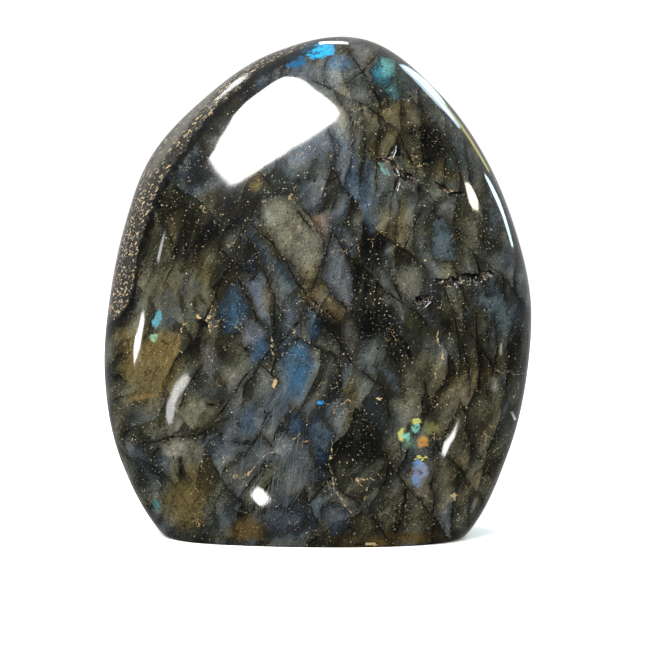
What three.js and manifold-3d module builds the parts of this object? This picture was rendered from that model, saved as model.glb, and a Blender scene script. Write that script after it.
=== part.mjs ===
// A polished labradorite freeform: a hand-sized piece of dark feldspar, ground by hand to a rounded arch, polished
// all over, and sawn flat underneath so that it stands by itself.
// Millimetres, +Z up. The main polished face looks along -Y, and the origin is the middle of the flat base.
import * as THREE from "three";
import { mergeVertices } from "three/addons/utils/BufferGeometryUtils.js";
import Module from "manifold-3d";

// The outline, seen from the front: eighteen spokes that meet above the base, one every 20 degrees from +X up
// towards +Z. The ones that point down end under the saw cut, and only set how wide and deep the foot is.
const HUB_HEIGHT = 46;
const SPOKES = [
  40.75, 40, 41.75, 45.5, 50, 47.5, 43.75, 41.75, 39.5, 40, 43.75, 49.5, 55.5, 57.25, 57.25, 54.5, 47.5, 42.75,
];

// The two domed faces, measured at mid-height from the rim's plane to the middle of each.
const FRONT_DEPTH = 19;
const BACK_DEPTH = 17;
const HEIGHT = 96;
const CROWN_TAPER = 0.28; // how much deeper the foot is than the crown, as a share of the depth

// A section through both faces is a superellipse. A higher power gives a flatter face and a tighter rim: the right
// side has the tightest rim, and the left was ground away to a broad soft shoulder.
const MEAN_POWER = 2.65;
const POWER_SWING = 0.45;
const TIGHTEST_TURN = -0.06; // in turns from +X

// Broad shallow waves that hand grinding leaves in the faces.
const WAVE_HEIGHT = 0.22;
const WAVE_LENGTH_X = 47;
const WAVE_LENGTH_Z = 58;

// Hollows where dark grains broke out of the front face: where each lies, its size, and its slant in degrees.
const HOLLOWS = [
  { x: 31.1, z: 50.7, length: 3.6, width: 1.9, depth: 1.0, slant: 12 },
  { x: 28.2, z: 50.2, length: 3.6, width: 2.3, depth: 1.1, slant: -8 },
  { x: 24.9, z: 49.6, length: 3.4, width: 2.1, depth: 1.1, slant: 15 },
  { x: 22.3, z: 49.9, length: 2.4, width: 0.9, depth: 0.6, slant: -4 },
  { x: 19.3, z: 46.3, length: 3.1, width: 2.3, depth: 1.1, slant: 20 },
];

// Splits in the upper right of that face, in the same terms.
const SPLITS = [
  { x: 12.2, z: 72.3, length: 3.4, width: 0.9, depth: 0.7, slant: 15 },
  { x: 13.7, z: 73.5, length: 2.6, width: 0.9, depth: 0.7, slant: 68 },
  { x: 14.2, z: 71.0, length: 3.4, width: 1.0, depth: 0.8, slant: -62 },
  { x: 16.6, z: 69.2, length: 4.2, width: 1.1, depth: 0.8, slant: -26 },
  { x: 14.6, z: 67.6, length: 2.8, width: 0.7, depth: 0.6, slant: 76 },
  { x: 23.0, z: 67.1, length: 2.8, width: 0.8, depth: 0.6, slant: -36 },
  { x: 25.7, z: 65.8, length: 3.0, width: 0.9, depth: 0.6, slant: 4 },
];

// Cells along each side of the grid that is wrapped round the stone.
const CELLS_X = 30;
const CELLS_Y = 16;
const CELLS_Z = 36;

const wasm = await Module();
wasm.setup();

// A smooth closed curve through equally spaced values, read at a number of turns.
function around(values, turns) {
  const place = (turns - Math.floor(turns)) * values.length;
  const step = Math.floor(place);
  const f = place - step;
  const [a, b, c, d] = [-1, 0, 1, 2].map((k) => values[(step + k + values.length) % values.length]);
  return b + 0.5 * f * (c - a + f * (2 * a - 5 * b + 4 * c - d + f * (3 * (b - c) + d - a)));
}

function power(turns) {
  return MEAN_POWER + POWER_SWING * Math.cos(2 * Math.PI * (turns - TIGHTEST_TURN));
}

// How far a face stands from the rim's plane, before its section rounds it off.
function reachOf(faceDepth, x, z) {
  const taper = 1 + CROWN_TAPER * (0.5 - z / HEIGHT);
  const wave = Math.sin((2 * Math.PI * x) / WAVE_LENGTH_X) * Math.cos((2 * Math.PI * z) / WAVE_LENGTH_Z);
  return faceDepth * taper + WAVE_HEIGHT * wave;
}

// Moves a point of the unit sphere to the stone's surface, as it was before the saw took the bottom off.
function toStone(p) {
  const turns = Math.atan2(p.z, p.x) / (2 * Math.PI);
  const spread = Math.hypot(p.x, p.z);
  const n = power(turns);
  const k = (spread ** n + Math.abs(p.y) ** n) ** (-1 / n);
  const radius = around(SPOKES, turns) * k * spread;
  const x = radius * Math.cos(2 * Math.PI * turns);
  const z = HUB_HEIGHT + radius * Math.sin(2 * Math.PI * turns);
  const faceDepth = p.y < 0 ? FRONT_DEPTH : BACK_DEPTH;
  return p.set(x, reachOf(faceDepth, x, z) * k * p.y, z);
}

// The y of the front face at a place on it.
function frontAt(x, z) {
  const turns = Math.atan2(z - HUB_HEIGHT, x) / (2 * Math.PI);
  const n = power(turns);
  const share = Math.hypot(x, z - HUB_HEIGHT) / around(SPOKES, turns);
  return -((1 - share ** n) ** (1 / n)) * reachOf(FRONT_DEPTH, x, z);
}

// Spreads the grid of a cube evenly over the unit sphere.
function toSphere(p) {
  const [x, y, z] = [p.x * p.x, p.y * p.y, p.z * p.z];
  return p.set(
    p.x * Math.sqrt(1 - y / 2 - z / 2 + (y * z) / 3),
    p.y * Math.sqrt(1 - x / 2 - z / 2 + (x * z) / 3),
    p.z * Math.sqrt(1 - x / 2 - y / 2 + (x * y) / 3),
  );
}

// A closed geometry as a solid that can be cut.
function solid(geometry) {
  geometry.deleteAttribute("normal");
  geometry.deleteAttribute("uv");
  const merged = mergeVertices(geometry);
  const vertProperties = merged.attributes.position.array;
  const triVerts = new Uint32Array(merged.index.array);
  return new wasm.Manifold(new wasm.Mesh({ numProp: 3, vertProperties, triVerts }));
}

function groundStone() {
  const geometry = new THREE.BoxGeometry(2, 2, 2, CELLS_X, CELLS_Y, CELLS_Z);
  const places = geometry.attributes.position;
  const p = new THREE.Vector3();
  for (let i = 0; i < places.count; i++) {
    toStone(toSphere(p.fromBufferAttribute(places, i)));
    places.setXYZ(i, p.x, p.y, p.z);
  }
  return solid(geometry);
}

// What the saw takes away: everything under the base.
function belowBase() {
  const side = 2 * HEIGHT;
  return solid(new THREE.BoxGeometry(side, side, side).translate(0, 0, -side / 2));
}

// A lump the shape of the hollow it leaves, half sunk in the front face.
function lump({ x, z, length, width, depth, slant }) {
  return solid(
    new THREE.IcosahedronGeometry(1, 1)
      .scale(length / 2, depth, width / 2)
      .rotateY(THREE.MathUtils.degToRad(-slant))
      .translate(x, frontAt(x, z), z),
  );
}

// A cut solid as a mesh that stands with the middle of its box over the origin.
function standing(made, name, material) {
  const { vertProperties, triVerts } = made.getMesh();
  const geometry = new THREE.BufferGeometry()
    .setAttribute("position", new THREE.BufferAttribute(vertProperties, 3))
    .setIndex(new THREE.BufferAttribute(triVerts, 1));
  geometry.computeVertexNormals();
  geometry.computeBoundingBox();
  const middle = geometry.boundingBox.getCenter(new THREE.Vector3());
  const mesh = new THREE.Mesh(geometry, material);
  mesh.name = name;
  mesh.position.set(-middle.x, -middle.y, 0);
  return mesh;
}

const darkFeldspar = new THREE.MeshStandardMaterial({ color: 0x2b3033, roughness: 0.12, metalness: 0 });

const sawn = groundStone().subtract(belowBase());
const worn = [...HOLLOWS, ...SPLITS].reduce((body, place) => body.subtract(lump(place)), sawn);

const stone = new THREE.Group();
stone.add(standing(worn, "labradorite", darkFeldspar));

export default stone;
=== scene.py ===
import math

import bmesh
import bpy
import numpy as np
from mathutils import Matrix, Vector, noise
from mathutils.bvhtree import BVHTree


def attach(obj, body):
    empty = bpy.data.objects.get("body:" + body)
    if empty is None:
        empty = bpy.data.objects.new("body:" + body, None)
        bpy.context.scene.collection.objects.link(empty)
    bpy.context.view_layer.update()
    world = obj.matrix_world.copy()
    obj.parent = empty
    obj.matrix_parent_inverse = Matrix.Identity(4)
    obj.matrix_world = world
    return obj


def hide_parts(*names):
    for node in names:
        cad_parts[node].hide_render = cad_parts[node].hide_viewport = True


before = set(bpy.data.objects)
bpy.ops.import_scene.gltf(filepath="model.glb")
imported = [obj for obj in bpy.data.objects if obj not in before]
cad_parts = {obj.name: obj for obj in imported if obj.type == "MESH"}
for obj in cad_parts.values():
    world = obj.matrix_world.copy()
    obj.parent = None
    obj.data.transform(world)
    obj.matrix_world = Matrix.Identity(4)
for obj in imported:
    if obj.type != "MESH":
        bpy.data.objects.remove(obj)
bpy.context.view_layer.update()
MM = 0.001


# The camera looks level with the middle of the stone and a little down on it, square to the polished face, from
# far enough away that the domed face is hardly foreshortened. One pixel of the picture covers PIXEL at the stone.
PICTURE = 650
PIXEL = 0.193 * MM
STAND_OFF = 400 * MM
LOOK_DOWN = math.radians(4)
LOOK_AT = Vector((1.5, 1.0, 40.5)) * MM

lens = bpy.data.cameras.new("camera")
camera = bpy.data.objects.new("camera", lens)
bpy.context.collection.objects.link(camera)
camera.location = LOOK_AT + STAND_OFF * Vector((0, -math.cos(LOOK_DOWN), math.sin(LOOK_DOWN)))
camera.rotation_euler = (math.pi / 2 - LOOK_DOWN, 0, 0)
lens.sensor_width = 36
lens.lens = lens.sensor_width * STAND_OFF / (PIXEL * PICTURE)
lens.clip_start = 0.01
bpy.context.scene.camera = camera


# The stone is one piece of dark feldspar, sawn off flat underneath, ground by hand to an arch with two domed faces,
# and polished all over. Its outline is given by spokes from a hub above the base, and each section through both
# faces is a superellipse, flatter with a tighter rim on the right and rounder on the left shoulder.
HUB_HEIGHT = 46
SPOKES = [
    40.75, 40, 41.75, 45.5, 50, 47.5, 43.75, 41.75, 39.5, 40, 43.75, 49.5, 55.5, 57.25, 57.25, 54.5, 47.5, 42.75,
]
FRONT_DEPTH = 19
BACK_DEPTH = 17
HEIGHT = 96
CROWN_TAPER = 0.28
MEAN_POWER = 2.65
POWER_SWING = 0.45
TIGHTEST_TURN = -0.06
WAVE_HEIGHT = 0.22
WAVE_LENGTH_X = 47
WAVE_LENGTH_Z = 58
BASE_EASE = 0.8
CELLS = 104

# Hollows and splits where grains broke out of the front face: x and z on it, length, width, depth, slant in degrees.
HOLLOWS = [
    (31.1, 50.7, 3.6, 1.9, 1.0, 12),
    (28.2, 50.2, 3.6, 2.3, 1.1, -8),
    (24.9, 49.6, 3.4, 2.1, 1.1, 15),
    (22.3, 49.9, 2.4, 0.9, 0.6, -4),
    (19.3, 46.3, 3.1, 2.3, 1.1, 20),
    (12.2, 72.3, 3.4, 0.9, 0.7, 15),
    (13.7, 73.5, 2.6, 0.9, 0.7, 68),
    (14.2, 71.0, 3.4, 1.0, 0.8, -62),
    (16.6, 69.2, 4.2, 1.1, 0.8, -26),
    (14.6, 67.6, 2.8, 0.7, 0.6, 76),
    (23.0, 67.1, 2.8, 0.8, 0.6, -36),
    (25.7, 65.8, 3.0, 0.9, 0.6, 4),
]


def around(values, turns):
    """A smooth closed curve through equally spaced values, read at a number of turns."""
    values = np.asarray(values, float)
    place = (turns % 1.0) * len(values)
    step = np.floor(place).astype(int)
    f = place - step
    a, b, c, d = (values[(step + k) % len(values)] for k in (-1, 0, 1, 2))
    return b + 0.5 * f * (c - a + f * (2 * a - 5 * b + 4 * c - d + f * (3 * (b - c) + d - a)))


def to_sphere(p):
    """Spreads the grid of a cube evenly over the unit sphere."""
    x, y, z = (p * p).T
    spread = [1 - y / 2 - z / 2 + y * z / 3, 1 - x / 2 - z / 2 + x * z / 3, 1 - x / 2 - y / 2 + x * y / 3]
    return p * np.sqrt(np.array(spread)).T


def to_stone(p):
    """Moves points of the unit sphere to the stone's surface, and says how far out towards the rim each one is."""
    x, y, z = p.T
    turns = np.arctan2(z, x) / (2 * math.pi)
    spread = np.hypot(x, z)
    power = MEAN_POWER + POWER_SWING * np.cos(2 * math.pi * (turns - TIGHTEST_TURN))
    k = (spread**power + np.abs(y) ** power) ** (-1 / power)
    radius = around(SPOKES, turns) * k * spread
    x = radius * np.cos(2 * math.pi * turns)
    z = HUB_HEIGHT + radius * np.sin(2 * math.pi * turns)
    wave = WAVE_HEIGHT * np.sin(2 * math.pi * x / WAVE_LENGTH_X) * np.cos(2 * math.pi * z / WAVE_LENGTH_Z)
    depth = np.where(y < 0, FRONT_DEPTH, BACK_DEPTH) * (1 + CROWN_TAPER * (0.5 - z / HEIGHT)) + wave
    eased = np.clip(z + BASE_EASE, 0, 2 * BASE_EASE) ** 2 / (4 * BASE_EASE)
    return np.stack([x, depth * k * y, np.where(z > BASE_EASE, z, eased)], 1), k * spread


def corners(mesh):
    return np.array([v.co for v in mesh.verts])


def near_hollow(x, z, margin):
    return any(math.hypot(x - h[0], z - h[1]) < h[2] / 2 + margin for h in HOLLOWS)


def hollow_depth(x, z):
    """How deep the broken-out places are at a place on the front face, with ragged edges and rough floors."""
    deepest = 0
    for place_x, place_z, length, width, depth, slant in HOLLOWS:
        c, s = math.cos(math.radians(slant)), math.sin(math.radians(slant))
        u = ((x - place_x) * c + (z - place_z) * s) / (length / 2)
        v = ((z - place_z) * c - (x - place_x) * s) / (width / 2)
        ragged = math.hypot(u, v) + 0.35 * noise.noise(Vector((x, z, slant)) * 1.7)
        if ragged < 1:
            floor = 0.8 + 0.5 * noise.noise(Vector((x, z, depth)) * 3.1)
            deepest = max(deepest, depth * floor * math.sqrt(1 - ragged * ragged))
    return deepest


grid = bmesh.new()
bmesh.ops.create_cube(grid, size=2)
bmesh.ops.subdivide_edges(grid, edges=grid.edges[:], cuts=CELLS - 1, use_grid_fill=True)
rough_places, _ = to_stone(to_sphere(corners(grid)))
grid.verts.ensure_lookup_table()
fine = {
    edge
    for face in grid.faces
    if all(v.co.y < -0.999 for v in face.verts)
    and near_hollow(*rough_places[face.verts[0].index][[0, 2]], margin=1.6)
    for edge in face.edges
}
bmesh.ops.subdivide_edges(grid, edges=list(fine), cuts=3, use_grid_fill=True)
grid.verts.index_update()

places, rim_share = to_stone(to_sphere(corners(grid)))
hollow = np.zeros(len(places))
for i, (x, y, z) in enumerate(places):
    if y < -5 and near_hollow(x, z, margin=1.0):
        hollow[i] = hollow_depth(x, z)
places[:, 1] += hollow

# How far each place lies within the left shoulder, which was ground less finely: 0.5 at its inner border.
turns = np.arctan2(places[:, 2] - HUB_HEIGHT, places[:, 0]) / (2 * math.pi) % 1
inner_border = 0.985 - 0.10 * np.clip((turns - 0.25) / 0.12, 0, 1)
ends = np.clip((turns - 0.235) / 0.02, 0, 1) * np.clip((0.53 - turns) / 0.03, 0, 1)
shoulder = np.clip(0.5 + (rim_share - inner_border) / 0.12, 0, 1.5) * ends
shoulder = shoulder * np.clip(1 - (places[:, 1] - 3) / 8, 0, 1)

lowest, highest = places.min(0), places.max(0)
places[:, :2] -= (lowest + highest)[:2] / 2
for v, place in zip(grid.verts, places):
    v.co = place * MM
for face in grid.faces:
    face.smooth = True

stone_mesh = bpy.data.meshes.new("polished_stone")
grid.to_mesh(stone_mesh)
grid.free()
stone = bpy.data.objects.new("polished_stone", stone_mesh)
bpy.context.collection.objects.link(stone)
triangles = BVHTree.FromPolygons([v.co for v in stone_mesh.vertices], [p.vertices for p in stone_mesh.polygons])


def struck(pixel):
    """The place on the stone that the camera sees at a pixel, which way it faces, and the way of the view."""
    x, y = (pixel[0] - PICTURE / 2) * PIXEL, (PICTURE / 2 - pixel[1]) * PIXEL
    ray = (camera.rotation_euler.to_matrix() @ Vector((x, y, -STAND_OFF))).normalized()
    place, normal, _, _ = triangles.ray_cast(camera.location, ray)
    return place, normal, ray


# The colour of the stone. Dark feldspar grew in leaning lens-shaped domains, some blue-grey, some olive, parted by
# dark seams that iron has stained brown. Where its layers catch the light, it flashes blue, teal and gold; these
# flashes of light are painted into the colour.
LIGHT_GAIN = 2.68


class Wire:
    """An output in a node tree. Sums on wires add Math nodes, or Vector Math for vectors and colours."""

    tree = None

    def __init__(self, socket):
        self.socket = socket

    @classmethod
    def node(cls, kind, settings, inputs, output=0):
        """Adds a node: its settings are made first, then its inputs are filled with values or wires."""
        made = cls.tree.nodes.new("ShaderNode" + kind)
        for name, value in settings.items():
            if name == "stops":
                while len(made.color_ramp.elements) < len(value):
                    made.color_ramp.elements.new(0.5)
                for stop, (place, colour) in zip(made.color_ramp.elements, value):
                    stop.position = place
                    stop.color = colour
            else:
                setattr(made, name, value)
        for name, value in inputs.items():
            if isinstance(value, Wire):
                cls.tree.links.new(value.socket, made.inputs[name])
            else:
                made.inputs[name].default_value = value
        return cls(made.outputs[output])

    def output(self, name):
        return Wire(self.socket.node.outputs[name])

    def sum(self, operation, other, reflected=False):
        pair = [other, self] if reflected else [self, other]
        vector = any(isinstance(v, Wire) and v.socket.type in ("VECTOR", "RGBA") for v in pair)
        if vector:
            pair = [(v, v, v) if isinstance(v, (int, float)) else v for v in pair]
        return Wire.node("VectorMath" if vector else "Math", {"operation": operation}, dict(enumerate(pair)))

    def __add__(self, other):
        return self.sum("ADD", other)

    def __radd__(self, other):
        return self.sum("ADD", other, reflected=True)

    def __sub__(self, other):
        return self.sum("SUBTRACT", other)

    def __rsub__(self, other):
        return self.sum("SUBTRACT", other, reflected=True)

    def __mul__(self, other):
        return self.sum("MULTIPLY", other)

    def __rmul__(self, other):
        return self.sum("MULTIPLY", other, reflected=True)


def seen(red, green, blue):
    """The reflectance of a tone that the studio light shows as this, from 0 to 255."""
    return tuple((c / 255) ** 2.2 / LIGHT_GAIN for c in (red, green, blue)) + (1,)


def smooth(value, start, end):
    """A soft step from 0 at start to 1 at end."""
    ends = {"From Min": start, "From Max": end}
    return Wire.node("MapRange", {"interpolation_type": "SMOOTHSTEP"}, {"Value": value, **ends})


def layer(under, over, mask):
    return Wire.node("Mix", {"data_type": "RGBA"}, {0: mask, 6: under, 7: over}, output=2)


def shades(value, *tones):
    """Goes evenly through tones as a value rises from 0 to 1."""
    stops = [(i / (len(tones) - 1), seen(*tone)) for i, tone in enumerate(tones)]
    return Wire.node("ValToRGB", {"stops": stops}, {0: value})


def most(*values):
    top = values[0]
    for value in values[1:]:
        top = top.sum("MAXIMUM", value)
    return top


def least(*values):
    low = values[0]
    for value in values[1:]:
        low = low.sum("MINIMUM", value)
    return low


def part(vector, axis):
    return Wire.node("SeparateXYZ", {}, {0: vector}, axis)


def dot(vector, way):
    return Wire.node("VectorMath", {"operation": "DOT_PRODUCT"}, {0: vector, 1: way}, "Value")


def cloud(at, grain, detail=2.0, rough=0.5):
    """Noise around 0.5, with lumps of a size in millimetres."""
    return Wire.node("TexNoise", {}, {"Vector": at, "Scale": 1 / grain, "Detail": detail, "Roughness": rough})


def shaken(at, grain, amount, detail=1.0):
    """Places moved about by noise, mostly by up to a quarter of an amount each way."""
    return at + (cloud(at, grain, detail).output("Color") - 0.5) * amount


def along(at, degrees, sizes=(1, 1, 1)):
    """Places counted in sizes: first across a line at this angle on the face, then along it, then into the stone."""
    c, s = math.cos(math.radians(degrees)), math.sin(math.radians(degrees))
    ways = [(s, 0, -c), (c, 0, s), (0, 1, 0)]
    parts = [dot(at, [step / size for step in way]) for way, size in zip(ways, sizes)]
    return Wire.node("CombineXYZ", {}, dict(enumerate(parts)))


def slabs(across, far):
    """Cuts a distance into slabs about this wide: a random colour for each, how far its nearest seam is, and how far
    off its middle a place is, from about -0.5 to 0.5."""
    across = across * (1 / far)
    where = {"W": across, "Scale": 1, "Randomness": 1}
    tint = Wire.node("TexVoronoi", {"voronoi_dimensions": "1D"}, where, "Color")
    seam = Wire.node("TexVoronoi", {"voronoi_dimensions": "1D", "feature": "DISTANCE_TO_EDGE"}, where, "Distance")
    return tint, seam * far, across - tint.output("W")


feldspar = bpy.data.materials.new("labradorite")
feldspar.use_nodes = True
Wire.tree = feldspar.node_tree
surface = feldspar.node_tree.nodes["Principled BSDF"]
at = Wire.node("TexCoord", {}, {}, output="Object") * (1 / MM)
front = smooth(part(at, "Y"), 3, -3)

# Two families of seams cross at a slant and part the domains: steep ones, which stand upright towards the right,
# and ones that fall to the right. Crossing a falling seam, the steep ones are offset.
bent = shaken(shaken(at, 26, 18), 7, 3, detail=2)
across_x, depth_y, rise_z = part(bent, "X"), part(bent, "Y"), part(bent, "Z")
lean = smooth(across_x, 28, -8) * 0.45
falling_tint, falling_seam, falling_side = slabs(dot(bent, (0.79, 0.3, 0.61)), 8.5)
offset = part(falling_tint, "X") * 17
steep_tint, steep_seam, steep_side = slabs(across_x - lean * (rise_z - 45) + depth_y * 0.3 + offset, 4.8)
tint = (steep_tint + falling_tint) * 0.5
alive = smooth(cloud(at, 9, detail=2), 0.40, 0.50)
jagged = shaken(shaken(at, 4, 1.4), 0.7, 1.3, detail=4)
grown_seam = least(steep_seam, falling_seam) + (1 - alive) * 1.2

# Each domain is cloudy in its own way, palest in its middle and streaked along its length by thin twinned layers.
own = bent + tint * 90
lens_cloud = cloud(along(own, 64, (6, 13, 9)), 1, detail=3)
soft_cloud = cloud(along(bent, 58, (3.4, 7, 5)), 1, detail=3, rough=0.5)
hue_cloud = cloud(along(own, 64, (7, 14, 10)) + 37, 1, detail=3)
wide_cloud = cloud(at, 17, detail=2)
wide_hue = cloud(at + 61, 15, detail=2)
shading = steep_side * 0.20 - falling_side * 0.08
home = shaken(at, 6, 4, detail=2) + (tint - 0.5) * 6
near = shaken(shaken(at, 3, 1.0), 1.1, 0.8, detail=3) + (hue_cloud - 0.5) * 0.4

# Slants, in degrees, of the ovals below, and places turned by each.
SLANTS = (-50, -35, -15, 0, 15, 35)


def turned(at):
    return {slant: along(at, slant) for slant in SLANTS}


def spot(turned_places, x, z, wide, high, slant, soft):
    """An oval on the front face, centred at x and z and turned by a slant."""
    c, s = math.cos(math.radians(slant)), math.sin(math.radians(slant))
    scale = (2 / high, 2 / wide, 0)
    middle = ((c * z - s * x) * scale[0], -(c * x + s * z) * scale[1], 0)
    share = Wire.node("VectorMath", {"operation": "MULTIPLY_ADD"}, {0: turned_places[slant], 1: scale, 2: middle})
    share = Wire.node("VectorMath", {"operation": "LENGTH"}, {0: share}, "Value")
    return smooth(share, 1 + soft / 2, 1 - soft / 2)


def spots(turned_places, ovals, soft):
    return most(*[spot(turned_places, *oval, soft) for oval in ovals])


# Broad zones of the front face: where each lies, its width, height and slant, and how much lighter and bluer it is.
ZONES = [
    (-8.7, 85.5, 13, 6, 35, -0.34, 0.55), (-16.6, 81.5, 5, 4, 35, -0.08, -0.20),
    (-23.6, 69.3, 9, 6, 35, -0.20, 0.30), (-20.0, 72.6, 7, 6, 0, -0.26, 0.20), (-18.8, 62.5, 16, 11, 0, -0.32, -0.15),
    (-25.4, 58.2, 12, 14, 0, -0.18, -0.35), (-29.2, 48.9, 8, 8, 0, -0.05, -0.30),
    (-11.4, 69.9, 3, 6, 0, 0.22, -0.75), (-2.2, 77.6, 12, 10, 0, 0.14, 0.45),
    (3.9, 81.0, 5, 7, 0, 0.14, -0.20), (0.6, 87.9, 12, 5, 0, 0.14, 0.10), (6.7, 85.4, 3, 8, 0, 0.00, -0.35),
    (10.8, 73.9, 4, 5, 0, -0.05, -0.70), (7.6, 66.6, 5, 14, 15, 0.02, 0.45),
    (13.6, 78.6, 12, 10, 0, -0.04, -0.35), (21.0, 74.0, 11, 6, -35, -0.08, 0.00),
    (26.2, 69.1, 5, 4, 0, 0.02, -0.45), (28.4, 57.3, 8, 8, 0, -0.08, -0.20),
    (13.1, 59.2, 5, 17, 15, 0.02, -0.40), (8.4, 56.0, 4, 13, 15, -0.42, -0.05),
    (10.2, 43.8, 10, 7, 0, -0.44, 0.05), (25.5, 52.2, 6, 5, 0, 0.02, -0.35),
    (34.1, 45.2, 8, 5, 0, 0.02, 0.35), (22.7, 44.2, 10, 6, 0, -0.08, -0.15),
    (30.0, 33.5, 9, 5, 0, -0.12, -0.50), (27.4, 26.9, 10, 14, 0, -0.02, -0.40),
    (19.0, 33.5, 10, 10, 0, -0.03, -0.20), (12.0, 28.0, 7, 12, 0, -0.08, 0.10),
    (4.8, 28.0, 4, 19, 0, -0.15, -0.45), (8.9, 16.5, 14, 15, 0, -0.22, -0.10),
    (-12.8, 54.6, 5, 12, -15, -0.15, 0.30), (-20.6, 49.6, 10, 8, 0, -0.06, -0.35),
    (-21.2, 38.6, 8, 8, 0, -0.12, -0.30), (-16.9, 33.1, 12, 10, 0, 0.02, -0.10),
    (-31.1, 34.6, 10, 13, 0, 0.10, -0.70), (-37.1, 37.4, 4, 15, 0, 0.00, -0.45),
    (-23.5, 27.4, 8, 6, 0, 0.10, -0.35), (-32.1, 25.1, 10, 5, 0, -0.08, -0.20),
    (-26.9, 19.8, 5, 4, 0, 0.16, -0.05), (-8.6, 24.3, 17, 19, 0, 0.04, 0.08),
    (-33.3, 15.4, 6, 10, 0, -0.20, 0.20), (-25.6, 9.7, 8, 10, 0, -0.04, -0.70),
    (-5.0, 8.0, 10, 6, 0, -0.08, 0.40), (-13.4, 3.3, 8, 4, 0, -0.06, -0.80),
    (2.5, 1.4, 42, 2, 0, -0.10, -0.70), (20.1, 9.1, 10, 10, 0, 0.06, -0.35),
    (15.5, 4.2, 19, 5, 0, -0.10, -0.30), (30.5, 14.3, 10, 12, 0, -0.04, -0.35),
    (34.3, 21.3, 6, 12, 15, 0.04, -0.10),
]
home_places = turned(home)
shift = Wire.node("CombineXYZ", {}, {})
for x, z, wide, high, slant, lighter, bluer in ZONES:
    mask = spot(home_places, x, z, wide, high, slant, soft=1.0)
    shift = shift + Wire.node("VectorMath", {"operation": "SCALE"}, {"Vector": (lighter, bluer, 0), "Scale": mask})
tone = 0.49 + (lens_cloud - 0.5) * 0.75 + (soft_cloud - 0.5) * 1.0 + (wide_cloud - 0.5) * 0.4 + shading
tone = tone + part(shift, "X") * front
hue = 0.41 + (hue_cloud - 0.5) * 1.3 + (wide_hue - 0.5) * 0.7 + part(shift, "Y") * front * 1.25
olive = shades(tone, (9, 10, 8), (28, 28, 21), (56, 56, 43), (86, 85, 68), (118, 116, 98), (152, 149, 131))
blue = shades(tone, (10, 12, 14), (26, 31, 36), (49, 58, 65), (76, 88, 98), (107, 120, 130), (146, 155, 160))
gold = shades(tone, (12, 11, 8), (34, 31, 20), (66, 59, 38), (100, 89, 56), (132, 120, 84), (160, 148, 114))
deep = shades(tone, (9, 15, 22), (22, 37, 50), (40, 64, 84), (62, 92, 118), (92, 124, 150), (132, 158, 176))
colour = layer(olive, blue, smooth(hue, 0.05, 0.95))
colour = layer(layer(gold, colour, smooth(hue, -0.5, 0.1)), deep, smooth(hue, 0.9, 1.5))

# Soft patches where the layers show a colour of their own, each a tone, its strength, its softness and its ovals.
GLOWS = [
    ((110, 98, 60), 0.75, 0.8, [(-11.4, 69.0, 2.6, 5.0, 0)]),
    ((98, 108, 116), 0.6, 1.1, [(-1.0, 87.6, 14, 4.6, 0), (-1.5, 78.5, 10, 7, 35)]),
    ((60, 106, 142), 0.7, 1.1, [(3.8, 90.2, 5.0, 3.0, 0)]),
    ((96, 85, 50), 0.75, 0.9, [(-31.1, 33.6, 9.5, 12.5, 0), (-25.2, 7.2, 8, 9, 0)]),
    ((146, 120, 72), 0.6, 0.8, [(-26.0, 37.4, 1.0, 4.6, -15), (-28.3, 34.4, 1.2, 3.0, -15), (-33.1, 27.8, 7, 0.9, 15)]),
    ((150, 148, 132), 0.6, 0.8, [(-26.6, 18.4, 4.4, 3.2, 0), (33.0, 30.6, 2.2, 3.0, 0)]),
    ((92, 74, 36), 0.7, 0.8, [(-13.2, 3.0, 8, 3.4, 0), (16, 1.6, 12, 2.4, 0)]),
    ((96, 91, 79), 0.6, 1.2, [(20.4, 12.0, 7, 11, 0)]),
    ((58, 80, 84), 0.6, 0.9, [(26.1, 71.7, 4.4, 3.2, 0)]),
    ((92, 90, 56), 0.7, 0.6, [(17.2, 71.7, 2.4, 2.2, 0), (26.2, 68.9, 2.2, 1.6, 0)]),
]
near_places = turned(near)
patchy = smooth(cloud(at + 53, 0.9, detail=3), 0.22, 0.55) * front


def patched(colour, patches, turned_places):
    for tone, strength, soft, ovals in patches:
        colour = layer(colour, seen(*tone), spots(turned_places, ovals, soft) * patchy * strength)
    return colour


colour = patched(colour, GLOWS, near_places)


def gap(at, x1, z1, x2, z2):
    """How far a place on the front face is from a straight line between two others."""
    start, way = Vector((x1, 0, z1)), Vector((x2 - x1, 0, z2 - z1))
    begins = start.dot(way) / way.dot(way)
    reached = {"Value": dot(at, way / way.dot(way)), "From Min": begins, "From Max": begins + 1}
    run = Wire.node("VectorMath", {"operation": "SCALE"}, {"Vector": way, "Scale": Wire.node("MapRange", {}, reached)})
    return Wire.node("VectorMath", {"operation": "DISTANCE"}, {0: at - run, 1: start}, "Value")


def lines(at, drawn):
    """How far a place on the front face is from the nearest of some lines, each drawn through points."""
    at = at * (1, 0, 1)
    nearest = (1 - front) * 9 + 99
    for points in drawn:
        for a, b in zip(points, points[1:]):
            nearest = least(nearest, gap(at, *a, *b))
    return nearest + (1 - front) * 9


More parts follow.
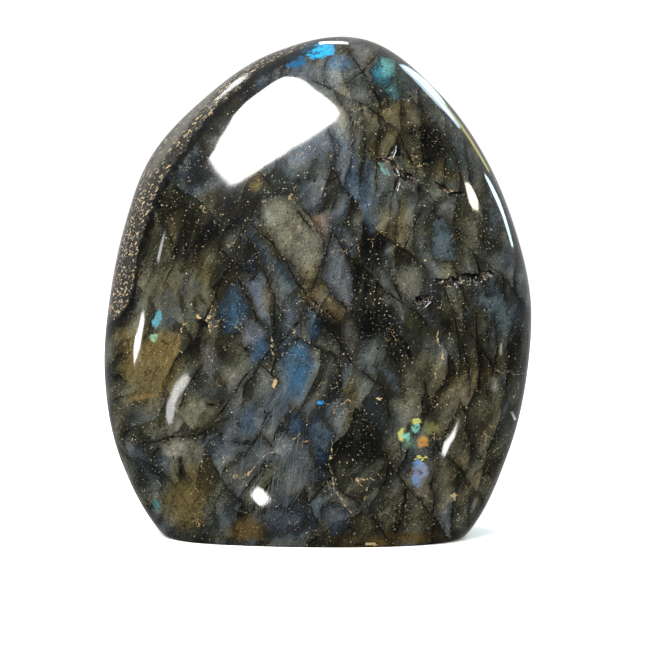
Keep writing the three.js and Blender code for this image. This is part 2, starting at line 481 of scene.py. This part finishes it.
# Facets: layers within the stone that end in crisp straight edges, each a tone, how strongly and how softly it
# shows, and up to six corners of a convex outline, in pixels of the picture. No seams grow across them.
FACETS = [
    ((114, 113, 97), 1.0, 0.35, [(261, 198), (291, 194), (326, 240), (318, 275), (311, 289), (260, 226)]),
    ((128, 132, 122), 0.6, 0.9, [(263, 204), (272, 203), (279, 222), (270, 226), (262, 216)]),
    ((112, 98, 66), 0.7, 0.8, [(298, 270), (318, 266), (313, 286), (303, 280)]),
    ((138, 117, 96), 0.75, 0.6, [(312, 217), (321, 215), (328, 226), (320, 237)]),
    ((134, 128, 128), 0.6, 0.7, [(323, 215), (336, 212), (332, 222), (325, 236)]),
    ((60, 68, 77), 0.7, 0.5, [(292, 190), (305, 183), (322, 186), (322, 208), (309, 220)]),
    ((54, 62, 72), 0.8, 0.35, [(334, 225), (343, 222), (358, 238), (358, 252), (351, 258), (339, 240)]),
    ((84, 91, 97), 0.9, 0.35, [(330, 242), (337, 240), (351, 259), (354, 300), (349, 313), (320, 278)]),
    ((104, 103, 105), 0.55, 1.0, [(330, 282), (350, 275), (352, 305), (345, 308)]),
    ((108, 95, 64), 0.9, 0.4, [(299, 296), (304, 280), (322, 284), (347, 311), (340, 322), (327, 316)]),
    ((48, 62, 73), 0.75, 0.5, [(246, 234), (258, 237), (297, 279), (298, 294), (262, 262)]),
    ((100, 110, 120), 0.75, 0.5, [(247, 284), (256, 278), (264, 284), (263, 318), (251, 304)]),
    ((103, 94, 70), 0.7, 0.6, [(263, 288), (270, 284), (276, 298), (268, 313), (263, 306)]),
    ((44, 66, 84), 0.85, 0.35, [(217, 306), (229, 284), (241, 281), (251, 314), (240, 332), (222, 336)]),
    ((60, 92, 118), 0.7, 0.8, [(231, 300), (236, 298), (238, 326), (232, 330)]),
    ((80, 91, 100), 0.8, 0.4, [(283, 302), (296, 291), (303, 303), (300, 335), (280, 352)]),
    ((42, 70, 90), 0.85, 0.35, [(304, 312), (310, 307), (321, 318), (321, 335), (313, 342), (305, 330)]),
    ((110, 117, 127), 0.7, 0.5, [(242, 318), (253, 318), (266, 334), (254, 346), (244, 345)]),
    ((58, 90, 122), 0.85, 0.8, [(251, 349), (262, 337), (269, 345), (266, 360), (252, 360)]),
    ((58, 96, 126), 0.95, 1.2, [(291, 344), (303, 342), (314, 366), (301, 398), (289, 398), (282, 366)]),
    ((86, 86, 79), 0.8, 0.35, [(343, 322), (352, 316), (360, 336), (352, 358), (343, 345)]),
    ((28, 60, 88), 0.8, 0.4, [(287, 415), (297, 410), (306, 424), (303, 433), (292, 438), (284, 428)]),
    ((36, 56, 73), 0.8, 0.4, [(306, 424), (318, 412), (335, 434), (330, 462), (320, 470), (306, 440)]),
    ((64, 72, 79), 0.7, 0.45, [(282, 448), (302, 440), (328, 474), (300, 487), (272, 497)]),
    ((48, 60, 74), 0.8, 0.35, [(322, 508), (336, 503), (351, 512), (350, 528), (336, 540), (321, 526)]),
    ((63, 71, 81), 0.75, 0.4, [(262, 514), (274, 507), (304, 512), (306, 524), (284, 533), (265, 533)]),
    ((84, 72, 47), 0.7, 0.5, [(236, 520), (254, 515), (262, 524), (264, 541), (238, 540)]),
    ((55, 76, 97), 0.7, 0.6, [(240, 408), (252, 403), (258, 425), (250, 436), (240, 432)]),
    ((97, 101, 107), 0.65, 0.6, [(228, 392), (240, 372), (239, 410), (233, 442), (225, 452)]),
    ((86, 87, 87), 0.7, 0.5, [(203, 345), (213, 342), (217, 360), (212, 380), (202, 372)]),
    ((70, 80, 87), 0.7, 0.4, [(376, 366), (388, 358), (400, 378), (402, 396), (390, 390)]),
    ((76, 94, 104), 0.75, 0.4, [(431, 224), (444, 216), (455, 238), (458, 262), (440, 262), (430, 250)]),
    ((78, 91, 100), 0.75, 0.4, [(486, 208), (494, 205), (501, 225), (497, 243), (489, 236)]),
    ((103, 103, 92), 0.75, 0.5, [(392, 272), (404, 262), (422, 275), (418, 300), (402, 290)]),
    ((83, 97, 98), 0.75, 0.5, [(484, 300), (500, 295), (512, 318), (509, 340), (495, 326)]),
    ((60, 73, 83), 0.7, 0.5, [(357, 198), (366, 180), (380, 200), (380, 226), (369, 233)]),
    ((66, 70, 70), 0.7, 0.5, [(178, 276), (192, 268), (199, 288), (190, 301), (182, 296)]),
    ((72, 73, 72), 0.7, 0.5, [(152, 302), (166, 288), (178, 300), (178, 316), (162, 318)]),
    ((98, 84, 52), 0.8, 0.5, [(148, 348), (165, 331), (178, 336), (168, 366), (150, 394)]),
    ((90, 82, 54), 0.75, 0.6, [(128, 372), (150, 356), (166, 372), (160, 392), (126, 402)]),
    ((56, 124, 146), 0.95, 0.4, [(370, 70), (381, 55), (396, 61), (396, 76), (386, 88), (376, 82)]),
    ((78, 126, 128), 0.9, 0.4, [(380, 86), (396, 76), (400, 99), (394, 101)]),
    ((118, 190, 180), 1.0, 0.45, [(381, 59), (393, 59), (396, 73), (385, 75)]),
    ((58, 80, 78), 0.7, 0.5, [(397, 66), (404, 70), (412, 86), (402, 98)]),
    ((140, 142, 149), 0.6, 0.6, [(350, 47), (362, 45), (372, 54), (361, 67), (353, 56)]),
    ((112, 98, 76), 0.7, 0.6, [(366, 52), (375, 56), (369, 64), (362, 67)]),
]
edged = shaken(shaken(at, 3, 1.0), 1.1, 0.35) + (hue_cloud - 0.5) * 0.4
three_x, three_z = (Wire.node("CombineXYZ", {}, {k: part(edged, axis) for k in range(3)}) for axis in "XZ")


def inside(corners):
    """How far inside a facet a place is, found for three edges at once."""
    points = [Vector((p.x, p.z)) / MM for p, _, _ in map(struck, corners)]
    points = points + [points[-1]] * (6 - len(points))
    edges = []
    for a, b in zip(points, points[1:] + points[:1]):
        across = Vector((a.y - b.y, b.x - a.x)).normalized() if a != b else edges[-1][0]
        edges.append((across, -across.dot(a)))
    middle = sum(points, Vector((0, 0))) / len(points)
    turn = 1 if edges[0][0].dot(middle) + edges[0][1] > 0 else -1
    found = []
    for trio in (edges[:3], edges[3:]):
        x_ways, z_ways, offsets = zip(*[(turn * way.x, turn * way.y, turn * offset) for way, offset in trio])
        far = Wire.node("VectorMath", {"operation": "MULTIPLY_ADD"}, {0: three_z, 1: z_ways, 2: offsets})
        found.append(Wire.node("VectorMath", {"operation": "MULTIPLY_ADD"}, {0: three_x, 1: x_ways, 2: far}))
    nearest = least(*found)
    return least(part(nearest, "X"), part(nearest, "Y"), part(nearest, "Z"))


mottle = smooth(cloud(at + 29, 2.6, detail=2), 0.34, 0.62) * 0.5 + 0.48
covered = front * 0
facet_edge = front * 0 + 9
for tone, strength, soft, corners in FACETS:
    depth_in = inside(corners)
    mask = smooth(depth_in, soft * -1.4, soft * 1.4) * front
    colour = layer(colour, seen(*tone), mask * mottle * strength)
    covered = most(covered, mask)
    if soft < 0.45:
        facet_edge = least(facet_edge, Wire.node("Math", {"operation": "ABSOLUTE"}, {0: depth_in}))

# Cracks and cleavage seams that stand out on the front face, as lines through x and z. The rest grow by chance.
CRACKS = [
    [(-11, 65), (-14, 57.4), (-17.1, 50.4), (-20.4, 43)],
    [(-11.9, 60.5), (-6.2, 54.1), (-2.5, 47.9), (3.9, 42.8)],
    [(-6.2, 66.2), (-1.2, 59.8)],
    [(3.2, 59.8), (1.2, 53), (-1.2, 47.9)],
    [(-2.5, 46.6), (2.6, 40.9), (6.5, 33.9), (12.2, 30.8), (13.5, 25)],
    [(-12.5, 57.5), (-9.8, 51.5), (-7.7, 46.8), (-8.2, 41.5), (-8.4, 34.5)],
    [(-14.3, 49.6), (-13, 47), (-11.2, 42.8), (-9.2, 40.8)],
    [(-13.9, 32.1), (-8.2, 37.1), (-3.6, 42.2)],
    [(-13.9, 32.1), (-17.6, 26), (-20.9, 20.4)],
    [(3.5, 58.3), (5.1, 54.8), (6.5, 51.6)],
    [(25.5, 43.4), (27.4, 37.1), (28.2, 28)],
    [(29.4, 43.9), (30.6, 35.7)],
    [(32.7, 43.2), (33.7, 36.9), (31.4, 27.8)],
    [(14.7, 8.3), (14.9, 3.4)],
    [(5.7, 92.7), (11.7, 83.2)],
    [(11.1, 91.4), (5.2, 86.2)],
    [(-32.5, 19.5), (-20.9, 21.7), (-16.4, 25)],
    [(19, 62.3), (15.3, 53.6)],
]
any_seam = least(lines(shaken(at, 7, 2.4, detail=2), CRACKS), grown_seam + covered * 2.4, facet_edge + 0.1)
wander = (cloud(at, 0.9, detail=3) - 0.5) * 0.5
stained = smooth(cloud(at + 19, 6), 0.40, 0.60)
kept_open = smooth(cloud(at + 43, 4, detail=2), 0.32, 0.50)
colour = layer(colour, seen(18, 19, 16), smooth(any_seam + wander * 3, 2.0, 0.0) * 0.6)
colour = layer(colour, seen(60, 53, 32), smooth(any_seam + wander * 3, 0.9, 0.1) * stained * 0.38)
colour = layer(colour, seen(12, 12, 10), smooth(any_seam + wander * 0.8, 0.24, 0.05) * kept_open * 0.95)
web = {"Vector": along(shaken(jagged, 5, 3), 62, (2.6, 5.2, 4)), "Scale": 1}
web = Wire.node("TexVoronoi", {"feature": "DISTANCE_TO_EDGE"}, web, "Distance")
hairline = smooth(web, 0.03, 0.006) * smooth(cloud(at + 83, 5, detail=2), 0.50, 0.60)
colour = layer(colour, seen(11, 11, 9), hairline * 0.65)

# The stone's texture: feathery streaks along the seams, a fine grain and grit, and ragged black clots.
streaks = cloud(along(shaken(at, 4, 2), 64, (0.6, 3, 2)), 1, detail=3, rough=0.65)
grain = cloud(at, 0.7, detail=4, rough=0.75)
grit = cloud(at + 11, 0.26, detail=1)
textured = 0.99 + (streaks - 0.5) * 1.4 + (grain - 0.5) * 1.1 + (grit - 0.5) * 1.8
colour = Wire.node("HueSaturation", {}, {"Color": colour, "Saturation": 1.0, "Value": most(textured, 0.25)})
CLOTS = [
    (18.2, 77.6, 2.4, 1.6, 0), (19.8, 75.6, 1.4, 1.6, 0), (23.0, 74.2, 2.6, 1.1, -15), (20.6, 72.1, 2.0, 1.2, 0),
    (15.0, 73.6, 1.0, 3.0, 0), (15.4, 69.4, 3.4, 1.1, -35), (-20.6, 42.2, 2.2, 2.6, 0), (23.6, 67.2, 2.2, 0.8, -35),
]
jagged_places = turned(jagged)
clotted = spots(turned(at), CLOTS, soft=1.2) + (cloud(at + 23, 1.0, detail=3, rough=0.6) - 0.5) * 3.2
clots = smooth(clotted, 0.60, 0.68) * front
colour = layer(colour, seen(10, 11, 12), clots * 0.92)

# Painted flashes: bright places painted where the layers lie just so; faces that turn away get broader ones.
PAINTED_FLASHES = [
    ((24, 98, 146), 0.9, 0.5, [(-3.9, 90.7, 3.4, 2.8, 0)]),
    ((42, 184, 250), 1.0, 0.3, [(0.1, 92.9, 6.4, 3.4, 0)]),
    ((40, 150, 225), 0.95, 0.4, [(0.6, 27.7, 1.4, 1.0, 35)]),
    ((90, 160, 180), 0.9, 0.5, [(-29.9, 42.6, 1.4, 3.2, -15)]),
    ((140, 186, 150), 0.85, 0.5, [(-30.5, 39.0, 1.4, 1.4, 0)]),
    ((112, 176, 170), 0.8, 0.6, [(11.9, 70.8, 0.5, 1.7, 35), (12.9, 69.7, 0.4, 1.5, 35)]),
    ((204, 206, 112), 0.9, 0.5, [(15.5, 21.4, 1.1, 2.8, 0), (18.3, 23.9, 2.0, 0.9, 0)]),
    ((122, 196, 176), 0.9, 0.5, [(16.3, 21.1, 1.4, 1.9, 0), (18.1, 22.8, 1.4, 1.6, -35)]),
    ((96, 134, 112), 0.6, 0.9, [(17.0, 20.0, 2.4, 2.0, 0)]),
    ((128, 128, 70), 0.6, 0.9, [(21.1, 22.9, 2.8, 2.3, 0)]),
    ((206, 158, 72), 0.85, 0.7, [(19.6, 20.3, 1.8, 2.6, 0)]),
    ((196, 108, 52), 0.7, 0.7, [(19.8, 20.0, 1.0, 1.5, 0)]),
    ((232, 222, 116), 0.9, 0.4, [(19.3, 17.2, 2.2, 0.6, 0)]),
    ((96, 150, 204), 0.85, 0.6, [(18.6, 16.2, 1.8, 1.3, 0)]),
    ((138, 146, 178), 0.85, 0.6, [(19.2, 14.8, 2.7, 3.0, 0)]),
    ((112, 142, 190), 0.8, 0.6, [(18.5, 12.8, 1.5, 1.9, 0)]),
    ((60, 130, 140), 0.8, 0.6, [(-30.4, 7.4, 1.2, 2.4, 0)]),
]
shards = Wire.node("TexVoronoi", {}, {"Vector": near, "Scale": 1 / 1.0, "Randomness": 1}, "Color")
colour = patched(colour, PAINTED_FLASHES, turned(near + (shards - 0.5) * 0.5))
# Painted flashes of light on the faces that turn away.
painted_back_flashes = smooth(cloud(home + 91, 15, detail=3), 0.52, 0.70) * (1 - front)
colour = layer(colour, shades(hue_cloud, (36, 84, 120), (52, 138, 184), (66, 134, 138), (140, 126, 62)), painted_back_flashes * 0.55)

# Flecks: tiny tan grains, scattered singly, crowded in places, in a broken net, and strung along a few cracks.
TAN_STRINGS = [
    [(-2.9, 21.9), (-5.5, 19.9), (-9.4, 17.4), (-14.2, 13.4)],
    [(3, 21.4), (2.5, 16.9), (3.2, 11.8), (6.7, 6.5)],
    [(22.2, 41), (22.2, 38.5), (23.3, 36.2), (21.8, 32.9)],
    [(3.2, 26.4), (5.4, 28), (7, 27.6)],
    [(7.2, 13.5), (8.3, 12.2)],
    [(8.4, 13.3), (10.4, 13.2)],
    [(9.4, 11.6), (8.8, 9.6)],
    [(-22.9, 43.3), (-20.6, 42.4), (-19.4, 41.6), (-18.2, 41.2)],
    [(-20.8, 42.2), (-19.6, 44.0), (-19.3, 45.6)],
    [(-20.2, 42.0), (-19.8, 40.2)],
    [(-24.2, 42.0), (-25.4, 40.4)],
    [(-8.2, 39.3), (-8.4, 36.6)],
    [(12.4, 72.2), (15.2, 70.8), (17.4, 68.4)],
    [(15.0, 70.4), (14.6, 66.8)],
    [(14.0, 74.4), (13.6, 72.4)],
]
TAN_BITS = [
    (-7.8, 30.8, 0.7, 1.5, -15), (25.6, 9.6, 0.5, 1.5, 0), (25.6, 9.7, 1.2, 0.5, 0), (10.2, 0.7, 2.4, 0.7, 0),
    (7.5, 13.2, 0.9, 0.6, 0), (11.6, 28.2, 0.9, 0.4, 0), (23.2, 36.0, 0.5, 1.1, 0), (-22.0, 43.2, 1.0, 0.6, -35),
    (-19.8, 43.0, 0.9, 0.5, 0), (19.8, 54.0, 0.5, 0.5, 0), (24.9, 66.4, 0.8, 0.5, 0),
]
PALE_LINES = [
    [(33.1, 33), (37.1, 32.1), (40, 31.8)],
    [(2.6, 30.1), (6.4, 31.3)],
    [(27.2, 15.9), (33.1, 11)],
    [(18.6, 21.9), (26, 24.5)],
]
crowd = smooth(cloud(at + 7, 7, detail=2), 0.40, 0.66)
fleck = Wire.node("TexVoronoi", {}, {"Vector": shaken(at, 0.4, 0.6), "Scale": 1 / 0.9, "Randomness": 1})
fleck_chance = part(fleck.output("Color"), "Y")
flecks = smooth(fleck - fleck_chance * fleck_chance * fleck_chance * 0.14, 0.005, -0.03)
dust = Wire.node("TexVoronoi", {}, {"Vector": shaken(at, 0.25, 0.35), "Scale": 1 / 0.5, "Randomness": 1})
dust_chance = part(dust.output("Color"), "Y")
dusting = smooth(dust - dust_chance * dust_chance * dust_chance * 0.25, 0.01, -0.05) * (crowd * 0.4 + 0.5) * (1 - clots)
dusting = most(dusting, smooth(grit, 0.69, 0.79) * (crowd * 0.4 + 0.3))
crumbs = smooth(cloud(at + 3, 0.7, detail=4, rough=0.7), 0.47, 0.54)
strings = smooth(lines(jagged, TAN_STRINGS), 0.17, 0.04)
net = Wire.node("TexVoronoi", {"feature": "DISTANCE_TO_EDGE"}, {"Vector": jagged, "Scale": 1 / 2.8})
broken_net = smooth(net, 0.022, 0.008) * smooth(cloud(at + 71, 5, detail=3), 0.60, 0.66) * (0.8 - clots)
bits = spots(jagged_places, TAN_BITS, soft=0.3) * front
colour = layer(colour, seen(222, 208, 178), dusting)
colour = layer(colour, shades(fleck_chance, (140, 132, 112), (180, 168, 142), (236, 222, 194)), flecks * 0.9)
colour = layer(colour, seen(206, 178, 132), most(most(strings, broken_net) * crumbs, bits) * 0.9)
colour = layer(colour, seen(140, 138, 122), smooth(lines(near, PALE_LINES), 0.14, 0.04) * crumbs * 0.6)

# Hair-fine polishing scratches lie over a few places on the face. Pale lines over them are painted glints.
SCRATCHED = [(-8.5, 18, 13, 20, 0), (-3, 77, 15, 9, 35), (6, 80, 6, 12, 0)]
worn = spots(turned(at), SCRATCHED, soft=1.2) * front
upright = cloud(along(at, 83, (0.16, 9, 2)), 1, detail=1)
leaning = cloud(along(at, 58, (0.14, 5, 2)), 1, detail=1)
scratch_glints = smooth(most(upright, leaning), 0.60, 0.74) * worn
# Painted glints: pale lines where the scratches would catch the light.
colour = layer(colour, seen(150, 158, 164), scratch_glints * 0.42)

# The left shoulder was ground away less finely: its layers end there in a crowd of short pale bristles over black,
# with ragged black along its inner border, and a grey reflection of the bright wall above is painted along its upper
# rim. The hollows keep a black crust with a pale net over part of it.
for name, values in (("shoulder", shoulder), ("hollow", hollow)):
    stone_mesh.attributes.new(name, "FLOAT", "POINT").data.foreach_set("value", values)
shoulder = Wire.node("Attribute", {"attribute_name": "shoulder"}, {}, "Fac")
ragged = shoulder + (cloud(at, 1.6, detail=4, rough=0.6) - 0.5) * 0.5
band = smooth(ragged, 0.44, 0.56)
swept = shaken(at, 2.6, 1.0)
straw = Wire.node("TexVoronoi", {}, {"Vector": along(swept, 32, (0.36, 1.5, 0.7)), "Scale": 1, "Randomness": 1})
bristles = smooth(straw - part(straw.output("Color"), "X") * 0.52, 0.03, -0.06)
straw = Wire.node("TexVoronoi", {}, {"Vector": along(swept, -38, (0.36, 1.2, 0.7)), "Scale": 1, "Randomness": 1})
crossing = smooth(straw - part(straw.output("Color"), "X") * 0.50, 0.03, -0.06)
bristles = most(bristles, crossing * smooth(cloud(at + 13, 1.5), 0.44, 0.54))
gold = smooth(cloud(at + 31, 0.9, detail=2), 0.44, 0.60)
bristle_colour = layer(seen(140, 136, 124), seen(216, 188, 140), gold)
band_colour = shades(cloud(at, 0.6, detail=4, rough=0.7), (8, 9, 10), (28, 28, 27), (76, 74, 69), (118, 114, 105))
# Painted reflection: a grey band along the shoulder's upper rim, where the bright wall above would be mirrored.
painted_sheen = smooth(ragged, 0.80, 1.05) * smooth(ragged, 1.4, 1.15) * smooth(part(at, "Z"), 60, 76)
band_colour = layer(band_colour, seen(112, 113, 108), painted_sheen * 0.7)
band_colour = layer(band_colour, bristle_colour, bristles * (1 - painted_sheen * 0.5) * 0.9)
colour = layer(colour, seen(9, 10, 10), smooth(ragged + (grain - 0.5) * 1.0, 0.08, 0.30) * 0.92)
colour = layer(colour, band_colour, band)
crust = smooth(Wire.node("Attribute", {"attribute_name": "hollow"}, {}, "Fac"), 0.03, 0.12)
pale_net = Wire.node("TexVoronoi", {"feature": "DISTANCE_TO_EDGE"}, {"Vector": shaken(at, 0.6, 0.5), "Scale": 1 / 0.8})
lower = smooth(part(at, "Z"), 64, 56)
pale_net = smooth(pale_net, 0.06, 0.015) * smooth(cloud(at + 5, 1.1) + lower * 0.05, 0.53, 0.60)
colour = layer(colour, layer(seen(7, 7, 7), layer(seen(176, 142, 98), seen(206, 192, 166), lower), pale_net), crust)

Wire.tree.links.new(colour.socket, surface.inputs["Base Color"])
finish = 0.06 + band * 0.08 + crust * 0.3
Wire.tree.links.new(finish.socket, surface.inputs["Roughness"])
surface.inputs["IOR"].default_value = 1.56
haze = 0.05 + worn * 0.12
Wire.tree.links.new(haze.socket, surface.inputs["Coat Weight"])
surface.inputs["Coat Roughness"].default_value = 0.35
scratched = Wire.node("Bump", {}, {"Height": (upright + leaning) * (worn + 0.15), "Distance": 0.0012 * MM})
Wire.tree.links.new(scratched.socket, surface.inputs["Normal"])
stone_mesh.materials.append(feldspar)
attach(stone, "root")
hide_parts("labradorite")


# The floor is a plain pale sheet, far wider than the view, matt so that it shows no horizon.
FLOOR_REACH = 4
floor_mesh = bpy.data.meshes.new("floor")
floor_corners = [(-1, -1, 0), (1, -1, 0), (1, 1, 0), (-1, 1, 0)]
floor_mesh.from_pydata([Vector(c) * FLOOR_REACH for c in floor_corners], [], [(0, 1, 2, 3)])
floor = bpy.data.objects.new("floor", floor_mesh)
bpy.context.collection.objects.link(floor)
floor.visible_glossy = False
pale = bpy.data.materials.new("pale_floor")
pale.use_nodes = True
pale.node_tree.nodes["Principled BSDF"].inputs["Base Color"].default_value = (0.92, 0.92, 0.91, 1)
pale.node_tree.nodes["Principled BSDF"].inputs["Roughness"].default_value = 1
pale.node_tree.nodes["Principled BSDF"].inputs["Specular IOR Level"].default_value = 0
floor_mesh.materials.append(pale)


# Studio light. Each lamp is a flat glowing panel, cut and placed so that the polished stone mirrors it as an outline
# drawn here in pixels of the picture, with how brightly the panel glows and its tint.
PANEL_AWAY = 0.6
WHITE = (1, 1, 1)
PANELS = {
    "key_softbox": (26, (1, 0.98, 0.95), [
        (208, 158), (216, 148), (217, 141), (235, 115), (246, 102), (260, 91), (284, 76), (298, 78), (317, 91), (335, 107),
        (340, 113), (334, 123), (315, 135), (284, 154), (255, 172), (238, 184), (229, 184), (215, 170),
    ]),
    "right_window": (28, (1, 0.94, 0.72), [
        (465, 183), (470, 183), (474, 190), (477, 200), (478, 210), (474, 209), (470, 202), (467, 192),
    ]),
    "left_window": (20, WHITE, [
        (144, 311), (144, 320), (143, 335), (141, 348), (137, 358), (134, 363), (134, 348), (136, 336), (139, 326), (141, 315),
    ]),
    "left_window_top": (10, WHITE, [(164, 234), (165, 236), (158, 262), (156, 260)]),
    "low_left": (10, WHITE, [
        (181, 376), (189, 375), (190, 381), (185, 388), (179, 396), (175, 405), (173, 415), (171, 424), (168, 424),
        (166, 414), (167, 405), (170, 395), (175, 386),
    ]),
    "foot_spark": (55, WHITE, [(256, 490), (261, 488), (265, 491), (267, 497), (265, 502), (260, 505), (255, 502), (253, 496)]),
    "upper_left_rim": (12, WHITE, [(248, 75), (243, 81), (228, 92), (218, 99), (217, 98), (227, 89), (236, 80), (244, 76)]),
    "crown_rim": (12, WHITE, [(318, 42), (334, 41), (349, 42), (349, 45), (334, 44), (318, 45)]),
    "low_right": (22, WHITE, [(457, 422), (455, 436), (450, 446), (445, 455), (442, 453), (445, 444), (452, 434)]),
    "right_corner": (5, (1, 0.95, 0.7), [(499, 344), (501, 344), (502, 355), (500, 355)]),
    "foot_right": (4, WHITE, [(511, 412), (513, 412), (516, 420), (514, 420)]),
    "right_rim_top": (8, (0.62, 0.86, 1), [
        (401, 64), (414, 71), (427, 82), (438, 94), (446, 105), (454, 116), (461, 126), (459, 129), (450, 118),
        (436, 104), (425, 92), (414, 80), (406, 72), (399, 65),
    ]),
    "right_rim_core": (16, (0.9, 0.96, 1), [
        (403, 66), (414, 73), (426, 84), (437, 96), (446, 107), (455, 119), (453, 120), (444, 109), (435, 98), (424, 86),
        (413, 76), (404, 68),
    ]),
    "right_rim_gold": (3, (1, 0.92, 0.35), [
        (445, 104), (457, 119), (469, 136), (481, 156), (490, 172), (489, 173), (479, 156), (467, 137), (455, 120), (444, 105),
    ]),
    "right_rim_low": (14, (0.62, 0.84, 1), [
        (484, 173), (489, 179), (499, 199), (506, 219), (514, 247), (512, 247), (503, 217), (493, 194), (485, 178),
    ]),
}
def mirrored(pixel):
    """The place on the stone that the camera sees at a pixel, and the way from there to what it mirrors."""
    place, normal, ray = struck(pixel)
    return place, (ray - 2 * ray.dot(normal) * normal).normalized()


for name, (glow, glow_tint, outline) in PANELS.items():
    rays = [mirrored(pixel) for pixel in outline]
    start = sum((place for place, _ in rays), Vector()) / len(rays)
    way = sum((ray for _, ray in rays), Vector()).normalized()
    middle = start + PANEL_AWAY * way
    ends = [place + ray * ((middle - place).dot(way) / ray.dot(way)) for place, ray in rays]
    mesh = bpy.data.meshes.new(name)
    mesh.from_pydata(ends, [], [tuple(range(len(ends)))])
    glowing = bpy.data.materials.new(name)
    glowing.use_nodes = True
    glowing.node_tree.nodes["Principled BSDF"].inputs["Base Color"].default_value = (0, 0, 0, 1)
    glowing.node_tree.nodes["Principled BSDF"].inputs["Emission Color"].default_value = (*glow_tint, 1)
    glowing.node_tree.nodes["Principled BSDF"].inputs["Emission Strength"].default_value = glow
    mesh.materials.append(glowing)
    lamp = bpy.data.objects.new(name, mesh)
    bpy.context.collection.objects.link(lamp)
    lamp.visible_camera = False
    lamp.visible_shadow = False

# All round is white light. What the polish mirrors of it is dim, but for the white wall above and behind.
world = bpy.data.worlds.new("studio")
bpy.context.scene.world = world
world.use_nodes = True
Wire.tree = world.node_tree
UP_AND_BACK = (0, 0.75, 0.66)
facing = {"Value": dot(Wire.node("TexCoord", {}, {}, "Generated"), UP_AND_BACK), "From Min": 0.1, "From Max": 0.95}
mirrored_glow = Wire.node("MapRange", {}, {**facing, "To Min": 0.06, "To Max": 0.6})
glossy = Wire.node("LightPath", {}, {}, "Is Glossy Ray")
strength = Wire.node("Mix", {}, {0: glossy, 2: 1.1, 3: mirrored_glow})
background = world.node_tree.nodes["Background"]
background.inputs["Color"].default_value = (1, 1, 1, 1)
Wire.tree.links.new(strength.socket, background.inputs["Strength"])

bpy.context.scene.view_settings.view_transform = "Standard"
